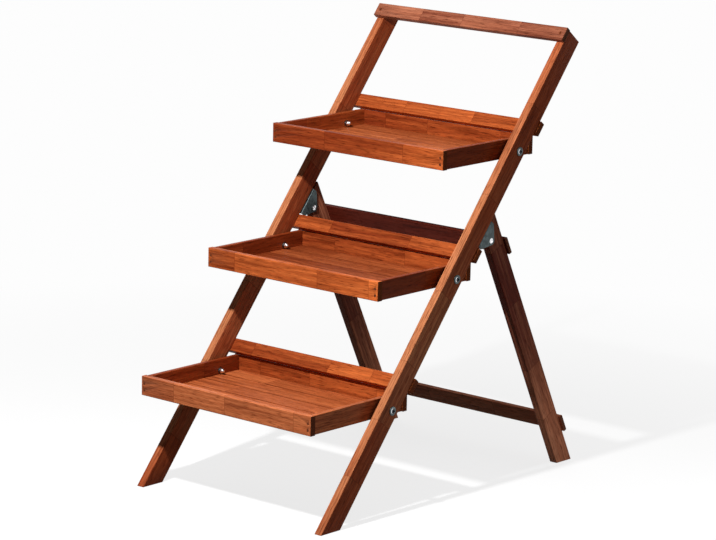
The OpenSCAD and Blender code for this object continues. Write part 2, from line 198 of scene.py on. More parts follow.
def planed_hardwood(name, light, dark, timber, edge):
    """Planed and oiled tropical hardwood, glued up from short staves.

    edge is the distance from the board's middle, in mm, at which its long edge lies.
    The eye sees staves of differing tone, soft growth rings, a few dark mineral
    streaks, fine dark pores along the grain, a satin sheen that the pores break up and,
    along the long edges of the slats, painted shade of the gaps between them.
    """
    material, tree, shader = start_material(name)
    grain, parts, place = grain_place(tree)

    # Streaks 7 mm wide and 180 mm long
    streak = add(tree, "Mapping", {0: place, "Scale": (1 / 180, 1 / 7, 1 / 7)})
    streak = add(tree, "TexNoise", {"Vector": streak.outputs[0], "Scale": 1, "Detail": 4,
                                    "Roughness": 0.6})
    # Rings round a pith 35 mm beside and 30 mm below the middle of the board
    ring = RING_TURN * MM / timber.ring_gap
    rings = add(tree, "Mapping", {0: place, "Location": (0, -35 * ring, 30 * ring),
                                  "Scale": (0.09 * ring, ring, ring)})
    rings = add(tree, "TexWave", {"Vector": rings.outputs[0], "Scale": 1, "Distortion": 5,
                                  "Detail": 3, "Detail Scale": 1.2, "Detail Roughness": 0.6},
                wave_type="RINGS", rings_direction="X")
    # Mineral streaks 15 mm wide and 380 mm long
    vein = add(tree, "Mapping", {0: place, "Scale": (1 / 380, 1 / 15, 1 / 15)})
    vein = add(tree, "TexNoise", {"Vector": vein.outputs[0], "Scale": 1, "Detail": 3,
                                  "Roughness": 0.65, "Distortion": 0.4})
    vein = add(tree, "MapRange", {"Value": vein.outputs[0], 1: 0.56, 2: 0.72, 3: 0, 4: 0.75})
    # Real pores are 0.2 mm wide, too fine to show, so they are drawn wider and longer
    wide, long = MM / timber.pore_width, MM / timber.pore_length
    pore = add(tree, "Mapping", {0: place, "Scale": (long, wide, wide)})
    pore = add(tree, "TexNoise", {"Vector": pore.outputs[0], "Scale": 1, "Detail": 1})
    pore = add(tree, "MapRange", {"Value": pore.outputs[0], 1: 0.56, 2: 0.72, 3: 0, 4: 1})

    # A glue line where one stave meets the next
    along = add(tree, "SeparateXYZ", {0: grain})
    rest = add(tree, "Math", {0: parts.outputs["Z"], 1: along.outputs["X"]},
               operation="SUBTRACT")
    near = add(tree, "Math", {0: rest.outputs[0], 1: along.outputs["X"]}, operation="MINIMUM")
    seam = add(tree, "MapRange", {"Value": near.outputs[0], 1: 0.3, 2: 0.9, 3: 0.6, 4: 0})
    line = add(tree, "Math", {0: pore.outputs[0], 1: seam.outputs[0]}, operation="MAXIMUM")

    tone = add(tree, "Math", {0: parts.outputs["X"], 1: streak.outputs[0]}, operation="ADD")
    tone = add(tree, "MapRange", {"Value": tone.outputs[0], 1: 0.45, 2: 1.35, 3: 0, 4: 1})
    base = add(tree, "Mix", {0: tone.outputs[0], 6: (*dark, 1), 7: (*light, 1)},
               data_type="RGBA")
    # Lighter and darker fibres 2.5 mm wide and 45 mm long
    fibre = add(tree, "Mapping", {0: place, "Scale": (1 / 45, 1 / 2.5, 1 / 2.5)})
    fibre = add(tree, "TexNoise", {"Vector": fibre.outputs[0], "Scale": 1, "Detail": 3,
                                   "Roughness": 0.6})
    fibre = add(tree, "MapRange", {"Value": fibre.outputs[0], 1: 0.3, 2: 0.7, 3: 0.7, 4: 1.15})
    base = add(tree, "Mix", {0: 1, 6: base.outputs[2], 7: fibre.outputs[0]}, data_type="RGBA",
               blend_type="MULTIPLY")
    # Painted shade in the gaps between the slats: their rounded edges darken, 3 mm in from the
    # side
    side = add(tree, "Math", {0: along.outputs["Y"]}, operation="ABSOLUTE")
    side = add(tree, "MapRange", {"Value": side.outputs[0], 1: edge - 3, 2: edge, 3: 0, 4: 0.7})
    base = add(tree, "Mix", {0: side.outputs[0], 6: base.outputs[2], 7: (0.3, 0.2, 0.16, 1)},
               data_type="RGBA", blend_type="MULTIPLY")
    share = add(tree, "Math", {0: rings.outputs["Fac"], 1: 0.6}, operation="MULTIPLY")
    base = add(tree, "Mix", {0: share.outputs[0], 6: base.outputs[2], 7: (0.66, 0.52, 0.46, 1)},
               data_type="RGBA", blend_type="MULTIPLY")
    base = add(tree, "Mix", {0: vein.outputs[0], 6: base.outputs[2], 7: (0.42, 0.3, 0.27, 1)},
               data_type="RGBA", blend_type="MULTIPLY")
    base = add(tree, "Mix", {0: line.outputs[0], 6: base.outputs[2], 7: (0.4, 0.3, 0.27, 1)},
               data_type="RGBA", blend_type="MULTIPLY")
    rough = add(tree, "MapRange", {"Value": line.outputs[0], 1: 0, 2: 1, 3: 0.42, 4: 0.62})
    bump = add(tree, "Bump", {"Height": line.outputs[0], "Strength": 0.4, "Distance": 0.1 * MM},
               invert=True)
    tree.links.new(base.outputs[2], shader.inputs["Base Color"])
    tree.links.new(rough.outputs[0], shader.inputs["Roughness"])
    tree.links.new(bump.outputs[0], shader.inputs["Normal"])
    shader.inputs["Specular IOR Level"].default_value = 0.04
    shader.inputs["Specular Tint"].default_value = (1, 0.62, 0.45, 1)
    return material


def sawn_end_and_shade(name, light, dark, timber):
    """End grain of the same hardwood, which drinks the oil and turns dark.

    The eye sees close arcs of growth rings, with open pores as dark specks and no sheen. Boards
    also take it for a short length at ends that lie in shade, as painted shade.
    """
    material, tree, shader = start_material(name)
    _, _, place = grain_place(tree)
    ring = RING_TURN * MM / timber.ring_gap
    rings = add(tree, "Mapping", {0: place, "Location": (0, -35 * ring, 30 * ring),
                                  "Scale": (0, 2 * ring, 2 * ring)})
    rings = add(tree, "TexWave", {"Vector": rings.outputs[0], "Scale": 1, "Distortion": 2.5,
                                  "Detail": 2, "Detail Scale": 1.5},
                wave_type="RINGS", rings_direction="X")
    # Cut pores, drawn three times as wide as the real ones
    pore = add(tree, "Mapping", {0: place, "Scale": (1 / 1.2, 1 / 1.2, 1 / 1.2)})
    pore = add(tree, "TexVoronoi", {"Vector": pore.outputs[0], "Scale": 1})
    pore = add(tree, "MapRange", {"Value": pore.outputs["Distance"], 1: 0.2, 2: 0.45, 3: 1, 4: 0})
    base = add(tree, "Mix", {0: rings.outputs["Fac"], 6: (*(c * 0.3 for c in dark), 1),
                             7: (*(c * 0.35 for c in light), 1)}, data_type="RGBA")
    base = add(tree, "Mix", {0: pore.outputs[0], 6: base.outputs[2], 7: (0.45, 0.4, 0.38, 1)},
               data_type="RGBA", blend_type="MULTIPLY")
    bump = add(tree, "Bump", {"Height": pore.outputs[0], "Strength": 0.3, "Distance": 0.2 * MM},
               invert=True)
    tree.links.new(base.outputs[2], shader.inputs["Base Color"])
    tree.links.new(bump.outputs[0], shader.inputs["Normal"])
    shader.inputs["Roughness"].default_value = 0.75
    shader.inputs["Specular IOR Level"].default_value = 0.05
    return material


def bright_steel(hardware):
    """Steel, polished and nickel plated, as on bolt heads and cap nuts.

    The eye sees a clear, slightly uneven mirror with faint polishing marks.
    """
    material, tree, shader = start_material("nickel_plated_steel")
    place = add(tree, "TexCoord")
    # Polishing marks 0.7 mm apart
    marks = add(tree, "Mapping", {0: place.outputs["Object"], "Scale": (400, 1400, 1400)})
    marks = add(tree, "TexNoise", {"Vector": marks.outputs[0], "Scale": 1, "Detail": 2})
    rough = add(tree, "MapRange", {"Value": marks.outputs[0], 1: 0.3, 2: 0.7, 3: 0.14, 4: 0.28})
    tree.links.new(rough.outputs[0], shader.inputs["Roughness"])
    shader.inputs["Base Color"].default_value = (*hardware.bright, 1)
    shader.inputs["Metallic"].default_value = 1
    return material


def galvanised_steel(hardware):
    """Sheet steel with a hot, crystallised coat of zinc.

    The eye sees a matt grey with patches of zinc crystal a few millimetres wide.
    """
    material, tree, shader = start_material("galvanised_sheet_steel")
    place = add(tree, "TexCoord")
    # Zinc crystals 5 mm wide
    spangle = add(tree, "Mapping", {0: place.outputs["Object"], "Scale": (200, 200, 200)})
    spangle = add(tree, "TexVoronoi", {"Vector": spangle.outputs[0], "Scale": 1})
    value = add(tree, "SeparateColor", {0: spangle.outputs["Color"]})
    base = add(tree, "Mix", {0: value.outputs[0], 6: (*(c * 0.55 for c in hardware.galvanised), 1),
                             7: (*hardware.galvanised, 1)}, data_type="RGBA")
    rough = add(tree, "MapRange", {"Value": value.outputs[1], 1: 0, 2: 1, 3: 0.34, 4: 0.5})
    tree.links.new(base.outputs[2], shader.inputs["Base Color"])
    tree.links.new(rough.outputs[0], shader.inputs["Roughness"])
    shader.inputs["Metallic"].default_value = 1
    return material


def screw_steel(hardware):
    """Dull zinc plating on screws.

    The eye sees a dark, matt metal, tarnished a little in patches.
    """
    material, tree, shader = start_material("tarnished_zinc_steel")
    place = add(tree, "TexCoord")
    # Tarnish in patches of 3 mm
    tarnish = add(tree, "Mapping", {0: place.outputs["Object"], "Scale": (330, 330, 330)})
    tarnish = add(tree, "TexNoise", {"Vector": tarnish.outputs[0], "Scale": 1, "Detail": 3})
    share = add(tree, "MapRange", {"Value": tarnish.outputs[0], 1: 0.4, 2: 0.65, 3: 0, 4: 1})
    base = add(tree, "Mix", {0: share.outputs[0], 6: (*hardware.screw, 1),
                             7: (*(c * 0.45 for c in hardware.screw), 1)}, data_type="RGBA")
    rough = add(tree, "MapRange", {"Value": share.outputs[0], 1: 0, 2: 1, 3: 0.38, 4: 0.6})
    tree.links.new(base.outputs[2], shader.inputs["Base Color"])
    tree.links.new(rough.outputs[0], shader.inputs["Roughness"])
    shader.inputs["Metallic"].default_value = 1
    return material


def painted_shade_steel(hardware):
    """Crowns and sockets of the bolt heads, painted dark: painted shade in the sockets and a
    painted dark reflection on the crowns.

    The eye sees a deep grey with a soft, slightly patchy shine.
    """
    material, tree, shader = start_material("painted_shade_steel")
    place = add(tree, "TexCoord")
    # Oil in patches of 2 mm
    oil = add(tree, "Mapping", {0: place.outputs["Object"], "Scale": (500, 500, 500)})
    oil = add(tree, "TexNoise", {"Vector": oil.outputs[0], "Scale": 1, "Detail": 2})
    rough = add(tree, "MapRange", {"Value": oil.outputs[0], 1: 0.35, 2: 0.65, 3: 0.3, 4: 0.5})
    tree.links.new(rough.outputs[0], shader.inputs["Roughness"])
    shader.inputs["Base Color"].default_value = (*hardware.painted_head_shade, 1)
    shader.inputs["Metallic"].default_value = 1
    return material


def bronzed_steel(hardware):
    """Bronzed screws and nails, which hardly stand out from the wood round them.

    The eye sees a dull red brown, worn lighter in spots.
    """
    material, tree, shader = start_material("bronzed_screw_steel")
    place = add(tree, "TexCoord")
    # Worn spots 2 mm wide
    worn = add(tree, "Mapping", {0: place.outputs["Object"], "Scale": (500, 500, 500)})
    worn = add(tree, "TexNoise", {"Vector": worn.outputs[0], "Scale": 1, "Detail": 2})
    base = add(tree, "Mix", {0: worn.outputs[0], 6: (*(c * 0.5 for c in hardware.bronzed), 1),
                             7: (*hardware.bronzed, 1)}, data_type="RGBA")
    tree.links.new(base.outputs[2], shader.inputs["Base Color"])
    shader.inputs["Roughness"].default_value = 0.55
    shader.inputs["Metallic"].default_value = 1
    return material


# The materials of each kind of board
# Half the width of a slat, in mm, near which its long edges get painted shade, and a distance that
# no other board's face reaches
SLAT_EDGE, NO_EDGE = 25, 1000


def wood(context, kind):
    """The planed material of one kind of board and the dark material of its sawn ends, which also
    carries painted shade, both made on first use.
    """
    timber = context.scene.stand_timber
    light, dark = getattr(timber, kind + "_light"), getattr(timber, kind + "_dark")
    planed, sawn = f"oiled_hardwood_{kind}", f"end_grain_and_painted_shade_{kind}"
    edge = SLAT_EDGE if kind == "slat" else NO_EDGE
    return [bpy.data.materials.get(planed) or planed_hardwood(planed, light, dark, timber, edge),
            bpy.data.materials.get(sawn) or sawn_end_and_shade(sawn, light, dark, timber)]


# ---- Boards ----

RIGHT = Vector((1, 0, 0))
BACK = Vector((0, 1, 0))
UP = Vector((0, 0, 1))
# The bolts lie in a row along the rails, and so give their direction
UP_RAILS = (PIVOTS["tray_top"] - PIVOTS["tray_bottom"]).normalized()
BEHIND_RAILS = RIGHT.cross(UP_RAILS) * -1
SPLAY = math.radians(26.4)
UP_LEGS = Vector((0, -math.sin(SPLAY), math.cos(SPLAY)))
BEHIND_LEGS = RIGHT.cross(UP_LEGS) * -1
# No glue line lies closer to a board's end
SHORTEST_END = 20 * MM
# A face that looks along the grain by more than this share is a sawn end
SAWN = 0.6
# A smaller end, in square metres, belongs to a shoulder and keeps its sharp edges
EASED_AREA = 1e-4


def stave_seams(low, high, anchor, timber, chance):
    """Places of the glue lines between low and high, with one at the anchor."""
    if anchor is None:
        anchor = low + chance.uniform(0.3, 0.8) * timber.stave_long
    seams = [anchor]
    while seams[-1] < high:
        seams.append(seams[-1] + chance.uniform(timber.stave_short, timber.stave_long))
    while seams[0] > low:
        seams.insert(0, seams[0] - chance.uniform(timber.stave_short, timber.stave_long))
    return [s for s in seams if low + SHORTEST_END < s < high - SHORTEST_END]


def tone_at(tones, share):
    """The tone at a share of the board's length, between tones that are evenly spaced."""
    place = min(max(share, 0), 1) * (len(tones) - 1)
    first = min(int(place), len(tones) - 2)
    return tones[first] + (tones[first + 1] - tones[first]) * (place - first)


def board(context, node, body, kind, along, broad, tones, anchor=None, eased=False,
          painted_sheen=0, painted_end_shade=0):
    """One board: the merged solid of its node, with eased ends, staves and grain.

    along is the direction of the grain, and broad points out of the wide face. tones
    are the wood's tones along the board, from 0 for dark to 1 for light, and anchor is
    the place of one glue line. Faces that don't look forwards are darker than those that
    do by a given step of tone: painted sheen on the forward faces and painted shade on
    the rest. The sawn ends are dark, and a given length at each end is as dark as they
    are: painted shade where an end lies in shade.
    """
    timber = context.scene.stand_timber
    chance = random.Random(node)
    bm = bmesh.new()
    bm.from_mesh(frame["nodes"][node].data)
    bmesh.ops.remove_doubles(bm, verts=bm.verts, dist=2e-6)
    bmesh.ops.dissolve_limit(bm, angle_limit=math.radians(0.3), verts=bm.verts, edges=bm.edges)
    if eased:
        rim = [e for e in bm.edges if len(e.link_faces) == 2
               and {abs(f.normal.dot(along)) > SAWN for f in e.link_faces} == {True, False}
               and max(f.calc_area() for f in e.link_faces
                       if abs(f.normal.dot(along)) > SAWN) > EASED_AREA]
        bmesh.ops.bevel(bm, geom=rim, offset=timber.end_ease, offset_type="OFFSET", segments=2,
                        profile=0.5, affect="EDGES", material=-1, clamp_overlap=False)
    reach = [v.co.dot(along) for v in bm.verts]
    low, high = min(reach), max(reach)
    middle = sum((v.co for v in bm.verts), Vector()) / len(bm.verts)
    seams = stave_seams(low, high, anchor, timber, chance)
    shade_lines = [low + painted_end_shade, high - painted_end_shade] if painted_end_shade else []
    for seam in (*seams, *shade_lines):
        bmesh.ops.bisect_plane(bm, geom=bm.verts[:] + bm.edges[:] + bm.faces[:],
                               plane_co=along * seam, plane_no=along, dist=1e-7)
    ends = [low, *seams, high]
    staves = [(a, chance.uniform(-0.2, 0.2), chance.random(), b - a)
              for a, b in zip(ends, ends[1:])]
    grain = bm.loops.layers.float_vector.new("grain")
    stave = bm.loops.layers.float_vector.new("stave")
    across = broad.cross(along)
    for face in bm.faces:
        place = face.calc_center_median().dot(along)
        begin, shift, seed, span = max((s for s in staves if s[0] <= place + 1e-6),
                                       default=staves[0])
        # Painted shade: within the given length of an end, faces take the dark material of the
        # sawn ends
        dark = painted_end_shade and min(place - low, high - place) < painted_end_shade
        face.material_index = int(dark or abs(face.normal.dot(along)) > SAWN)
        # Painted sheen and shade: faces that don't look forwards are darker by the given step of
        # tone
        shift -= 0 if face.normal.y < -0.5 else painted_sheen
        face.smooth = max(abs(face.normal.dot(d)) for d in (along, broad, across)) < 0.9995
        for loop in face.loops:
            away = loop.vert.co - middle
            reached = loop.vert.co.dot(along)
            tone = tone_at(tones, (reached - low) / (high - low)) + shift
            loop[stave] = (tone, seed, span / MM)
            loop[grain] = ((reached - begin) / MM,
                           away.dot(across) / MM, away.dot(broad) / MM)
    piece = finish_piece(context, bm, node + "_board", body,
                         wood(context, kind))
    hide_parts(node)


def finish_piece(context, bm, name, body, materials):
    """Makes the object of a finished mesh, and lets it ride on its body."""
    mesh = bpy.data.meshes.new(name)
    bm.to_mesh(mesh)
    bm.free()
    mesh.set_sharp_from_angle(angle=math.radians(32))
    for material in materials:
        mesh.materials.append(material)
    piece = bpy.data.objects.new(name, mesh)
    context.scene.collection.objects.link(piece)
    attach(piece, body)
    return piece


class STAND_OT_rails(bpy.types.Operator):
    """Make the two ladder rails"""

    bl_idname = "stand.rails"
    bl_label = "Rails"

    def execute(self, context):
        # Along each rail the tone climbs from the foot to a light band low down and falls towards
        # the top: painted sheen in the band and painted shade at the foot and the top
        for side in ("left", "right"):
            board(context, f"rail_{side}", "frame", "rail", UP_RAILS, RIGHT,
                  (0.2, 0.8, 1, 0.95, 0.8, 0.6, 0.25), eased=True, painted_sheen=0.6)
        return {"FINISHED"}


class STAND_OT_handle_bar(bpy.types.Operator):
    """Make the bar across the top of the rails"""

    bl_idname = "stand.handle_bar"
    bl_label = "Handle bar"

    def execute(self, context):
        # The bar has the darker wood of the legs
        board(context, "handle_bar", "frame", "leg", RIGHT, BEHIND_RAILS, (0.22, 0.3), eased=True)
        return {"FINISHED"}


class STAND_OT_battens(bpy.types.Operator):
    """Make the battens behind the rails, which stop the trays"""

    bl_idname = "stand.battens"
    bl_label = "Battens"

    def execute(self, context):
        for tier in TIERS:
            # The battens' last 2.6 mm at each end, which stand past the rails, get painted shade
            board(context, f"batten_{tier}", "frame", "tray", RIGHT, BEHIND_RAILS, (0.1, 0.4),
                  eased=True, painted_end_shade=2.6 * MM)
        return {"FINISHED"}


class STAND_OT_rear_legs(bpy.types.Operator):
    """Make the two legs of the rear frame"""

    bl_idname = "stand.rear_legs"
    bl_label = "Rear legs"

    def execute(self, context):
        for side in ("left", "right"):
            # The legs are lightest at the foot: painted light near the floor
            board(context, f"leg_{side}", "rear_frame", "leg", UP_LEGS, RIGHT, (1.1, -0.05, 0.2),
                  eased=True)
        return {"FINISHED"}


class STAND_OT_crosspieces(bpy.types.Operator):
    """Make the two crosspieces of the rear frame"""

    bl_idname = "stand.crosspieces"
    bl_label = "Crosspieces"

    def execute(self, context):
        # The upper crosspiece is darkest, painted shade under the top tray, and the lower one
        # lightest, painted light
        for place, tones in (("upper", (-0.1, -0.1)), ("lower", (0.9, 1.1))):
            board(context, f"crosspiece_{place}", "rear_frame", "leg", RIGHT, BEHIND_LEGS, tones,
                  eased=True)
        return {"FINISHED"}


class STAND_OT_tray_boards(bpy.types.Operator):
    """Make the four boards round each tray"""

    bl_idname = "stand.tray_boards"
    bl_label = "Tray boards"

    # Glue lines that show in the front and back boards, in metres right of the middle
    front_seams = {"bottom": 0.0006, "middle": 0.0692, "top": 0.1234}
    back_seams = {"bottom": -0.02, "middle": 0.0649, "top": -0.0409}
    front_tones = {"bottom": (0.6, 0.85), "middle": (0.5, 0.2, 0.85), "top": (-0.1, 0.05, 0.45)}
    back_tones = {"bottom": (0.25, 0.5), "middle": (0, 0.25), "top": (-0.05, 0.2)}
    # The left boards and the upper right boards have dark tones, painted shade on their shaded
    # faces; the bottom tray's right board is light, painted light near the floor
    left_tones = {"bottom": (-0.1, 0.1), "middle": (-0.1, 0.1), "top": (-0.1, 0.1)}
    right_tones = {"bottom": (0.8, 0.5), "middle": (-0.2, 0), "top": (-0.3, 0)}

    def execute(self, context):
        for tier in TIERS:
            tray = f"tray_{tier}"
            kind = "low" if tier == "bottom" else "tray"
            board(context, f"{tray}_front", tray, kind, RIGHT, BACK, self.front_tones[tier],
                  self.front_seams[tier])
            # The back boards' last 3.1 mm at each end, which lie behind the rails, get painted
            # shade
            board(context, f"{tray}_back", tray, "tray", RIGHT, BACK, self.back_tones[tier],
                  self.back_seams[tier], painted_end_shade=3.1 * MM)
            board(context, f"{tray}_left", tray, "tray", BACK, RIGHT, self.left_tones[tier])
            board(context, f"{tray}_right", tray, kind, BACK, RIGHT, self.right_tones[tier])
        return {"FINISHED"}


class STAND_OT_tray_slats(bpy.types.Operator):
    """Make the slats of the tray floors"""

    bl_idname = "stand.tray_slats"
    bl_label = "Tray slats"

    def execute(self, context):
        for tier in TIERS:
            tones = (0.15, 0.45) if tier == "middle" else (0.5, 0.8)
            for i in range(1, 6):
                board(context, f"tray_{tier}_slat_{i}", f"tray_{tier}", "slat", RIGHT, UP, tones)
        return {"FINISHED"}


# ---- Turned hardware ----


def turned(profile, steps):
    """A closed shell: the (radius, height) profile, in metres, spun about Z."""
    bm = bmesh.new()
    verts = [bm.verts.new((radius, 0, height)) for radius, height in profile]
    edges = [bm.edges.new(pair) for pair in zip(verts, verts[1:])]
    bmesh.ops.spin(bm, geom=verts + edges, cent=(0, 0, 0), axis=(0, 0, 1), angle=2 * math.pi,
                   steps=steps, use_merge=True)
    bmesh.ops.remove_doubles(bm, verts=bm.verts, dist=1e-6)
    return bm


def arc(centre, radius, start, end, steps):
    """Points of a round part of a profile, with angles in degrees from outwards."""
    angles = [math.radians(start + (end - start) * i / steps) for i in range(steps + 1)]
    return [(centre[0] + radius * math.cos(a), centre[1] + radius * math.sin(a)) for a in angles]


def boundary(bm):
    """The open edges of a mesh."""
    return [e for e in bm.edges if e.is_boundary]


def button_head_bolt(hardware, shank, reach):
    """A bolt along Z: its head stands on zero, and its shank hangs down."""
    radius, height = hardware.head_width / 2, hardware.head_height
    ball = (radius * radius + height * height) / (2 * height)
    mouth = hardware.socket_width * 0.66
    start = math.degrees(math.acos(min(1, radius / ball)))
    start = math.copysign(start, height - ball)
    stop = math.degrees(math.acos(mouth / ball))
    crown = arc((0, height - ball), ball, start, stop, 7)
    profile = [(0, -reach), (shank - 0.5 * MM, -reach), (shank, -reach + 0.5 * MM), (shank, 0),
               (radius - 0.2 * MM, 0), *crown]
    bm = turned(profile, hardware.turns)
    rim = boundary(bm)
    flat = max(v.co.z for e in rim for v in e.verts)
    # The socket: a hexagon joined to the round mouth, sunk and closed
    corners = bmesh.ops.create_circle(bm, segments=6, radius=hardware.socket_width / math.sqrt(3),
                                      matrix=Matrix.Translation((0, 0, flat)))["verts"]
    hexagon = list({e for v in corners for e in v.link_edges})
    bmesh.ops.bridge_loops(bm, edges=rim + hexagon)
    sunk = bmesh.ops.extrude_edge_only(bm, edges=hexagon)["geom"]
    bmesh.ops.translate(bm, verts=[g for g in sunk if isinstance(g, bmesh.types.BMVert)],
                        vec=(0, 0, -0.62 * height))
    bmesh.ops.contextual_create(bm, geom=[g for g in sunk if isinstance(g, bmesh.types.BMEdge)])
    # The crown and the socket are black, painted shade in the socket and a painted dark reflection
    # on the crown, and only the foot of the head is bright
    for face in bm.faces:
        face.material_index = int(max(v.co.z for v in face.verts) <= flat + 1e-6
                                  and min(v.co.z for v in face.verts) > 0)
    return bm


def ring(inner, outer, thickness, edge, steps):
    """A washer or a spacer on zero, with rounded outer edges."""
    profile = [(inner, 0), *arc((outer - edge, edge), edge, -90, 0, 3),
               *arc((outer - edge, thickness - edge), edge, 0, 90, 3), (inner, thickness),
               (inner, 0)]
    return turned(profile, steps)


def cap_nut(hardware, bore):
    """A domed nut on zero: a bevelled hexagon with a bored foot, and its dome."""
    steps, flats = hardware.turns, hardware.nut_width
    hexagon, dome = flats * 0.5, flats * 0.475
    bm = bmesh.new()
    bmesh.ops.create_cone(bm, cap_ends=True, segments=6, radius1=flats / math.sqrt(3),
                          radius2=flats / math.sqrt(3), depth=hexagon,
                          matrix=Matrix.Translation((0, 0, hexagon / 2)))
    bmesh.ops.bevel(bm, geom=bm.edges[:], offset=0.45 * MM, offset_type="OFFSET", segments=2,
                    profile=0.5, affect="EDGES", material=-1)
    foot = min(bm.faces, key=lambda f: f.calc_center_median().z)
    bmesh.ops.inset_region(bm, faces=[foot], thickness=flats / 2 - bore - 0.6 * MM)
    bmesh.ops.translate(bm, verts=list(foot.verts), vec=(0, 0, hexagon * 0.5))
    rise = 0.95 * flats - dome
    crown = turned([(dome, hexagon - 0.6 * MM), *arc((0, rise), dome, 0, 90, 8)], steps)
    mesh = bpy.data.meshes.new("crown")
    crown.to_mesh(mesh)
    crown.free()
    bm.from_mesh(mesh)
    bpy.data.meshes.remove(mesh)
    bmesh.ops.holes_fill(bm, edges=boundary(bm), sides=0)
    return bm


def place_round(context, make, name, node_name, body, materials, spots):
    """Copies a turned shape to each spot, a point and the way that its top points."""
    bm = bmesh.new()
    for point, outwards in spots:
        shape = make()
        turn = UP.rotation_difference(outwards).to_matrix().to_4x4()
        bmesh.ops.transform(shape, verts=shape.verts, matrix=Matrix.Translation(point) @ turn)
        bmesh.ops.recalc_face_normals(shape, faces=shape.faces)
        mesh = bpy.data.meshes.new("part")
        shape.to_mesh(mesh)
        shape.free()
        bm.from_mesh(mesh)
        bpy.data.meshes.remove(mesh)
    for face in bm.faces:
        face.smooth = True
    piece = finish_piece(context, bm, name, body, materials)
    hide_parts(node_name)


def pivot_spots(x, side_of_head=1):
    """The points at x, and its mirror image, on each tray's bolt axis."""
    spots = []
    for tier in TIERS:
        for side in (-1, 1):
            point = PIVOTS[f"tray_{tier}"].copy()
            point.x = side * x
            spots.append((point, RIGHT * side * side_of_head))
    return spots


def material_once(context, name, make):
    """A hardware material, made on first use."""
    return bpy.data.materials.get(name) or make(context.scene.stand_hardware)


# Thickness of the washers, and play beside them
WASHER, RUN_GAP = 1.6 * MM, 0.3 * MM
# Radii of washers, spacers, bolts and their bores
WIDE_WASHER, NUT_WASHER, SPACER = 9 * MM, 6.25 * MM, 7 * MM
BOLT_RADIUS, BOLT_BORE = 3 * MM, 3.05 * MM
# Length of the bolt inside the cap nut
BOLT_IN_NUT = 5 * MM


def rail_faces():
    """The inner and the outer face of the right rail, and the seat of the cap nuts."""
    low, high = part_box("rail_right")
    board_low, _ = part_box("tray_top_right")
    return low.x, high.x, board_low.x - RUN_GAP - WASHER


class STAND_OT_pivot_bolts(bpy.types.Operator):
    """Make the six button-headed bolts that the trays turn on"""

    bl_idname = "stand.pivot_bolts"
    bl_label = "Pivot bolts"

    def execute(self, context):
        hardware = context.scene.stand_hardware
        _, outer, seat = rail_faces()
        reach = outer + WASHER - seat + BOLT_IN_NUT
        place_round(context, lambda: button_head_bolt(hardware, BOLT_RADIUS, reach),
                    "button_head_bolts", "pivot_bolts", "frame",
                    [material_once(context, "nickel_plated_steel", bright_steel),
                     material_once(context, "painted_shade_steel", painted_shade_steel)],
                    pivot_spots(outer + WASHER))
        return {"FINISHED"}


class STAND_OT_pivot_rings(bpy.types.Operator):
    """Make the washers and the spacers on the bolts"""

    bl_idname = "stand.pivot_rings"
    bl_label = "Washers and spacers"

    def execute(self, context):
        steps = context.scene.stand_hardware.turns
        inner, outer, seat = rail_faces()
        steel = [material_once(context, "galvanised_sheet_steel", galvanised_steel)]
        place_round(context, lambda: ring(BOLT_BORE, WIDE_WASHER, WASHER, 0.35 * MM, steps),
                    "wide_washers", "pivot_washers", "frame", steel,
                    pivot_spots(outer))
        place_round(context, lambda: ring(BOLT_BORE, NUT_WASHER, WASHER, 0.3 * MM, steps),
                    "nut_washers", "pivot_washers", "frame", steel,
                    pivot_spots(seat))
        tray_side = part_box("tray_top_right")[1].x
        gap = inner - tray_side - RUN_GAP
        place_round(context, lambda: ring(BOLT_BORE, SPACER, gap, 0.4 * MM, steps),
                    "spacers", "pivot_spacers", "frame", steel,
                    pivot_spots(inner - gap))
        return {"FINISHED"}


class STAND_OT_cap_nuts(bpy.types.Operator):
    """Make the domed nuts inside the trays"""

    bl_idname = "stand.cap_nuts"
    bl_label = "Cap nuts"

    def execute(self, context):
        hardware = context.scene.stand_hardware
        _, _, seat = rail_faces()
        place_round(context, lambda: cap_nut(hardware, BOLT_BORE), "domed_nuts",
                    "pivot_cap_nuts", "frame",
                    [material_once(context, "nickel_plated_steel", bright_steel)],
                    pivot_spots(seat, -1))
        return {"FINISHED"}


def plate(node, material):
    """Gives a piece that keeps its solid's shape its finish."""
    for slot in frame["nodes"][node].material_slots:
        slot.material = material


class STAND_OT_hinges(bpy.types.Operator):
    """Finish the hinge brackets in galvanised steel and their pins in bright steel"""

    bl_idname = "stand.hinges"
    bl_label = "Hinges"

    def execute(self, context):
        for side in ("left", "right"):
            plate(f"hinge_bracket_{side}",
                  material_once(context, "galvanised_sheet_steel", galvanised_steel))
        plate("hinge_pins", material_once(context, "nickel_plated_steel", bright_steel))
        return {"FINISHED"}


class STAND_OT_screws(bpy.types.Operator):
    """Finish screws and nails: bronzed on trays and handle bar, dull zinc elsewhere"""

    bl_idname = "stand.screws"
    bl_label = "Screws and nails"

    def execute(self, context):
        zinc = material_once(context, "tarnished_zinc_steel", screw_steel)
        bronze = material_once(context, "bronzed_screw_steel", bronzed_steel)
        for node in frame["nodes"]:
            if node.endswith(("_screws", "_nails")):
                plate(node, bronze if node.startswith(("tray", "handle")) else zinc)
        return {"FINISHED"}


# ---- Stage ----


FLOOR_RADIUS = 16
# The floor's shadow has this share of a full one near the stand, and fades out between
# two distances from its middle, where the lamp grows weak
SHADOW_SHARE, SHADOW_NEAR, SHADOW_FAR = 0.22, 0.4, 1.9
# Ways to the middles of the two soft lights
OVERHEAD_WAY, REAR_WAY = (0.6, 0.1, 0.79), (-0.55, 0.83, 0)
# The photograph's viewpoint, with turn, tilt and roll in degrees and the lens in mm
CAMERA_PLACE = (4.24808, -4.91007, 1.8135)
CAMERA_ANGLES = (40.92, -12.05, 1.14)
CAMERA_LENS = 163.91


